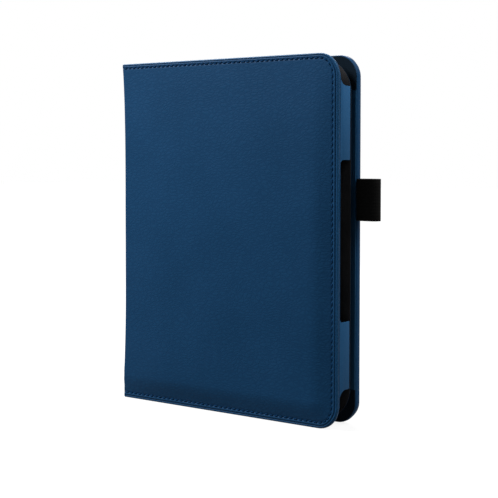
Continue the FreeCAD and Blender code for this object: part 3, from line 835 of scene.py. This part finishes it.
def linings():
    """Dark lining cloth over the inside of both covers and the spine."""
    front, width, length = lining("front_lining", "front_cover_lining", 1)
    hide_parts("front_cover_lining")
    bend_at_crease(front)
    deck_low, deck_high = node_box("keyboard_deck")
    play = Vector((DECK_PLAY, PAST, DECK_PLAY))
    hole = rounded_block("deck_hole", deck_low - play, deck_high + play, Y, DECK_RADIUS + DECK_PLAY)
    back, width, length = lining("back_lining", "back_cover_lining", -1, hole)
    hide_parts("back_cover_lining", "spine_lining")
    bend_at_crease(back)


# Tablet sleeve

# The wall: its thickness, the lip left standing in front of its openings, and how far it draws in at the
# front and the back, by a power of the distance from its middle
WALL = 1.2
WALL_LIP = 1.4
WALL_RECESS = {"front": 1.0, "back": 0.5}
WALL_CURVE = 2.5

# How wide the wall's rings are, and how close points are welded before its edges are rounded
WALL_RINGS = 1.2
WALL_WELD = 0.12

# The part of the wall near the fore-edge that is lined where it looks back to the spine
FORE_WALL = 12.0

# The openings of the wall: the scoops at both corners, the port at the fore-edge and those at both ends
SCOOP_REACH = 17.5
SCOOP_RADIUS = 4.5
UPPER_SCOOP = 185.5
LOWER_SCOOP = 21.0
FORE_PORT = (58.0, 145.6)
END_PORTS = (48.0, 100.0)
PORT_RADIUS = 2.0

# The bezel's window for the screen, how far its cutter reaches past the bezel, and how far outside the window
# the seam runs
WINDOW_X = (26.0, 139.0)
WINDOW_Z = (18.0, 185.0)
WINDOW_RADIUS = 4.0
WINDOW_PAST = 4.0
WINDOW_SEAM = Vector((2.5, 0.0, 2.5))

# How far the sleeve's edges are rounded
PANEL_EDGE = 0.3
WALL_EDGE = 0.22
BEZEL_EDGE = 0.28


def sleeve_panel():
    """The sleeve's panel against the front cover: its edges in the covers' darker leather as painted shade
    for the shadowed gap beside the wall, lined inside.
    """
    low, high = node_box("sleeve_back_panel")
    panel = rounded_plate("sleeve_panel", low, high, SLEEVE_RADIUS)
    break_edges(panel, PANEL_EDGE, segments=3)
    # The panel's edges take the covers' darker leather: painted shade for the gap between the front cover and
    # the wall
    paint(panel, COVER_LEATHER, BLACK_LINING)
    paint_where(panel, 1, lambda face: looks(face, Y, 1, least=0.7))
    settle(panel)
    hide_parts("sleeve_back_panel")
    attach(panel, "front_cover")


def wall_band():
    """The sleeve's crowned wall, as one band from the spine side round the fore-edge and back."""
    low, high = node_box("sleeve_walls")
    band = rounded_plate("sleeve_wall", low, high, SLEEVE_RADIUS)
    pick(band, "FACE", lambda face: looks(face, Y, 1) or looks(face, Y, -1) or looks(face, X, -1))
    bpy.ops.mesh.delete(type="FACE")
    done()
    lip = low.y + WALL_LIP
    crosscut(band, Y, [lip] + spaced(lip, high.y, WALL_RINGS))
    half = (high.y - low.y) / 2
    centre = (high.y + low.y) / 2
    normals = [vertex.normal.copy() for vertex in band.data.vertices]
    for vertex, normal in zip(band.data.vertices, normals):
        normal.y = 0
        share = abs(vertex.co.y - centre) / half
        recess = WALL_RECESS["front" if vertex.co.y < centre else "back"]
        vertex.co -= normal.normalized() * recess * share ** WALL_CURVE
    thicken(band, WALL)
    return band, low, high


def sleeve_wall():
    """The sleeve's wall with its corner scoops and the openings for sockets and buttons."""
    band, low, high = wall_band()
    lip = low.y + WALL_LIP
    scoop = high.x - SCOOP_REACH
    fore, behind = high.x + PAST, high.y + PAST
    bottom, top = low.z - PAST, high.z + PAST

    def at_lip(point):
        """Whether a place lies at the lip's edge or in front of it."""
        return point.y < lip + TINY

    def looks_inside(face):
        """Whether a face of the wall looks to the tablet."""
        if face.center.x > high.x - FORE_WALL:
            return looks(face, X, -1, least=0.35)
        return looks(face, Z, 1 if face.center.z < high.z / 2 else -1, least=0.35)

    cutters = [
        ("upper_scoop", (scoop, lip, UPPER_SCOOP), (fore, behind, top), X, SCOOP_RADIUS,
         lambda point: at_lip(point) and point.z < UPPER_SCOOP + TINY),
        ("lower_scoop", (scoop, lip, bottom), (fore, behind, LOWER_SCOOP), X, SCOOP_RADIUS,
         lambda point: at_lip(point) and point.z > LOWER_SCOOP - TINY),
        ("fore_port", (high.x - PAST, lip, FORE_PORT[0]), (fore, behind, FORE_PORT[1]), X, PORT_RADIUS,
         at_lip),
        ("end_ports", (END_PORTS[0], lip, bottom), (END_PORTS[1], behind, top), Z, PORT_RADIUS, at_lip),
    ]
    for cutter in cutters:
        cut_away(band, rounded_block(*cutter))
    weld(band, WALL_WELD)
    break_edges(band, WALL_EDGE, clamp=False)
    # The lip takes the covers' darker leather: painted shade for the shadowed seam where the wall meets the
    # front cover
    paint(band, SLEEVE_LEATHER, BLACK_LINING, COVER_LEATHER)
    paint_where(band, 2, lambda face: at_lip(face.center))
    paint_where(band, 1, looks_inside)
    settle(band)
    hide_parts("sleeve_walls")
    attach(band, "front_cover")


def sleeve_bezel():
    """The bezel that frames the screen: leather outside, lined inside, sewn round its window."""
    low, high = node_box("sleeve_bezel")
    bezel = rounded_plate("sleeve_frame", low, high, BEZEL_RADIUS, segments=18)
    window_low = Vector((WINDOW_X[0], low.y - WINDOW_PAST, WINDOW_Z[0]))
    window_high = Vector((WINDOW_X[1], high.y + WINDOW_PAST, WINDOW_Z[1]))
    cut_away(bezel, rounded_block("screen_window", window_low, window_high, Y, WINDOW_RADIUS))
    break_edges(bezel, BEZEL_EDGE, segments=3)
    paint(bezel, BEZEL_LEATHER, BLACK_LINING)
    paint_where(bezel, 1, lambda face: looks(face, Y, -1, least=0.7))
    settle(bezel)
    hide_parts("sleeve_bezel")
    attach(bezel, "front_cover")
    run = window_run(window_low - WINDOW_SEAM, window_high + WINDOW_SEAM)
    rows = sew("bezel_stitches", run, high.y - BEZEL_SUNK, 1)
    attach(rows, "front_cover")


# Pen loop and keyboard

# The loop: where its ring starts, how thick the band is, how far its corners and edges are rounded, and how
# high the rows are that it is cut into
LOOP_START = 155.9
LOOP_BAND = 1.1
LOOP_RADIUS = 3.3
LOOP_EDGE = 0.2
LOOP_ROWS = 4.0


def pen_loop():
    """The elastic pen loop: a folded band whose tail lies on the back cover's lining."""
    low, high = node_box("pen_loop")
    loop = rounded_block("elastic_pen_loop", (LOOP_START, low.y, low.z), high, Z, LOOP_RADIUS)
    pick(loop, "FACE", lambda face: looks(face, Z, 1) or looks(face, Z, -1))
    bpy.ops.mesh.delete(type="FACE")
    done()
    thicken(loop, LOOP_BAND)
    tail_back = node_box("back_cover_lining")[0].y
    tail_front = tail_back - LOOP_BAND
    crosscut(loop, Y, [tail_front, tail_back])
    pick(loop, "FACE", lambda face: looks(face, X, -1) and middle(face).x < LOOP_START + TINY
         and tail_front < middle(face).y < tail_back)
    pull(low.x - LOOP_START, 0, 0)
    done()
    crosscut(loop, Z, spaced(low.z, high.z, LOOP_ROWS))
    break_edges(loop, LOOP_EDGE)
    paint(loop, ELASTIC)
    settle(loop)
    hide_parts("pen_loop")
    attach(loop, "back_cover")


# What is printed on the keys whose names aren't a letter, and how large and thick the print is
LEGENDS = {"delete": "del", "shift": "shift", "enter": "enter", "fn": "fn", "ctrl": "ctrl", "alt": "alt",
           "space": "", "sym": "sym", "left": "<", "right": ">"}
LETTER_SIZE = 5.0
WORD_SIZE = 3.4
PRINT_DEPTH = 0.03

# Turns a print that lies flat so that it is read from the fore-edge
PRINT_TURN = Matrix(((0, -1, 0), (0, 0, -1), (1, 0, 0))).to_4x4()


def key_legends():
    """A plain printed letter or word on each key but the space bar."""
    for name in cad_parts:
        if not name.startswith("key_"):
            continue
        key = name.removeprefix("key_")
        words = LEGENDS.get(key, key.upper())
        if not words:
            continue
        low, high = node_box(name)
        bpy.ops.object.select_all(action="DESELECT")
        bpy.ops.object.text_add(location=(0, 0, 0))
        text = bpy.context.object
        text.name = "legend_" + key
        text.data.body = words
        text.data.size = LETTER_SIZE if len(words) == 1 else WORD_SIZE
        text.data.extrude = PRINT_DEPTH
        text.data.align_x = "CENTER"
        text.data.align_y = "CENTER"
        bpy.ops.object.convert(target="MESH")
        legend = bpy.context.object
        spot = Vector(((low.x + high.x) / 2, low.y, (low.z + high.z) / 2))
        legend.data.transform(Matrix.Translation(spot) @ PRINT_TURN)
        paint(legend, KEY_PRINT)
        settle(legend)
        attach(legend, name)


# The spine's board shows only at its two ends, where leather is turned in over it
NODE_FINISH = {
    "front_cover_board": BOARD_GREY,
    "spine_board": COVER_LEATHER,
    "back_cover_board": BOARD_GREY,
    "bezel_magnets": SOCKET_STEEL,
    "closure_magnets": SOCKET_STEEL,
    "keyboard_deck": DECK_PLASTIC,
    "keyboard_base": DECK_PLASTIC,
    "switch_membrane": REST_RUBBER,
    "battery": BATTERY_FOIL,
    "circuit_board": CIRCUIT_GREEN,
    "charging_socket": SOCKET_STEEL,
    "power_switch": KEY_PLASTIC,
    "tablet_rest": REST_RUBBER,
}


def finish_nodes():
    """Give every node that no new piece replaces its own finish."""
    for name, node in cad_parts.items():
        material = KEY_PLASTIC if name.startswith("key_") else NODE_FINISH.get(name)
        if material is not None:
            paint(node, material)


# Studio, in metres

WHITE = (1.0, 1.0, 1.0, 1.0)
FLOOR_SIZE = 8.0
FLOOR_GREY = (0.12, 0.12, 0.12, 1.0)

# The floor shows a little darker near the case than far from it
FLOOR_GLOW = {"From Min": 0.15, "From Max": 0.9, "To Min": 0.89, "To Max": 1.0}
ROOM_LIGHT = 0.05

# Each softbox with its place, width and power, and the point that they all face
SOFTBOXES = [
    ("key_softbox", (-0.475, -0.34, 0.70), 0.35, 11.6),
    ("side_softbox", (0.36, 0.10, 0.54), 0.35, 2.55),
    ("back_softbox", (-0.40, 0.62, 0.50), 0.5, 5.0),
]
LIT_POINT = Vector((0.0, 0.0, 0.11))

# Where the photograph was taken from, in the case's millimetres, and how the camera is turned, in degrees
CAMERA_PLACE = (505.4, -543.3, 149.4)
CAMERA_PITCH = -2.767
CAMERA_HEADING = 36.996


def worked_out(tree, operation, first, second):
    """A number worked out from two outputs."""
    node = tree.nodes.new("ShaderNodeMath")
    node.operation = operation
    tree.links.new(first, node.inputs[0])
    tree.links.new(second, node.inputs[1])
    return node.outputs[0]


def shown(tree):
    """1 for what is seen, also in a glossy surface or through a clear one, and 0 for what gives light."""
    path = tree.nodes.new("ShaderNodeLightPath").outputs
    mirrored = worked_out(tree, "MAXIMUM", path["Is Glossy Ray"], path["Is Transmission Ray"])
    return worked_out(tree, "MAXIMUM", path["Is Camera Ray"], mirrored)


def studio_floor():
    """A floor that shows pale and keeps the case's shadow."""
    bpy.ops.object.select_all(action="DESELECT")
    bpy.ops.mesh.primitive_plane_add(size=FLOOR_SIZE, location=(0, 0, 0))
    floor = bpy.context.object
    floor.name = "studio_floor"
    material, tree, shader, place = new_material("pale_floor")
    set_inputs(shader, {"Base Color": FLOOR_GREY, "Roughness": 0.9, "Specular IOR Level": 0.1})
    away = tree.nodes.new("ShaderNodeVectorMath")
    away.operation = "LENGTH"
    tree.links.new(place, away.inputs[0])
    level = tree.nodes.new("ShaderNodeMapRange")
    level.interpolation_type = "SMOOTHSTEP"
    set_inputs(level, FLOOR_GLOW)
    tree.links.new(away.outputs["Value"], level.inputs["Value"])
    glow = worked_out(tree, "MULTIPLY", shown(tree), level.outputs["Result"])
    set_inputs(shader, {"Emission Color": WHITE})
    tree.links.new(glow, shader.inputs["Emission Strength"])
    floor.data.materials.append(material)


def white_room():
    """A world that shows white and gives only a little light."""
    world = bpy.data.worlds.new("white_room")
    bpy.context.scene.world = world
    world.use_nodes = True
    tree = world.node_tree
    dim = tree.nodes["Background"]
    bright = tree.nodes.new("ShaderNodeBackground")
    set_inputs(dim, {"Color": WHITE, "Strength": ROOM_LIGHT})
    set_inputs(bright, {"Color": WHITE, "Strength": 1.0})
    mix = tree.nodes.new("ShaderNodeMixShader")
    tree.links.new(shown(tree), mix.inputs[0])
    tree.links.new(dim.outputs[0], mix.inputs[1])
    tree.links.new(bright.outputs[0], mix.inputs[2])
    tree.links.new(mix.outputs[0], tree.nodes["World Output"].inputs["Surface"])


def softboxes():
    """Soft light from the upper left, with less from the right and from behind."""
    for name, place, width, power in SOFTBOXES:
        light = bpy.data.lights.new(name, "AREA")
        light.size = width
        light.energy = power
        lamp = bpy.data.objects.new(name, light)
        bpy.context.collection.objects.link(lamp)
        lamp.location = place
        towards = LIT_POINT - lamp.location
        lamp.rotation_euler = towards.to_track_quat("-Z", "Y").to_euler()


def photo_camera():
    """The camera where the photograph was taken from: nearly level, and to the right of the front."""
    camera = bpy.data.cameras.new("photo_camera")
    camera.lens = 87.67
    camera.sensor_width = 36.0
    camera.shift_y = -0.075
    camera.clip_end = 20.0
    holder = bpy.data.objects.new("photo_camera", camera)
    bpy.context.collection.objects.link(holder)
    holder.location = in_frame(*CAMERA_PLACE)
    holder.rotation_euler = (math.radians(90 + CAMERA_PITCH), 0.0, math.radians(CAMERA_HEADING))
    bpy.context.scene.camera = holder


bpy.context.scene.view_settings.view_transform = "Standard"
front_leather()
back_leather()
cover_stitching()
linings()
sleeve_panel()
sleeve_wall()
sleeve_bezel()
pen_loop()
key_legends()
finish_nodes()
studio_floor()
white_room()
softboxes()
photo_camera()
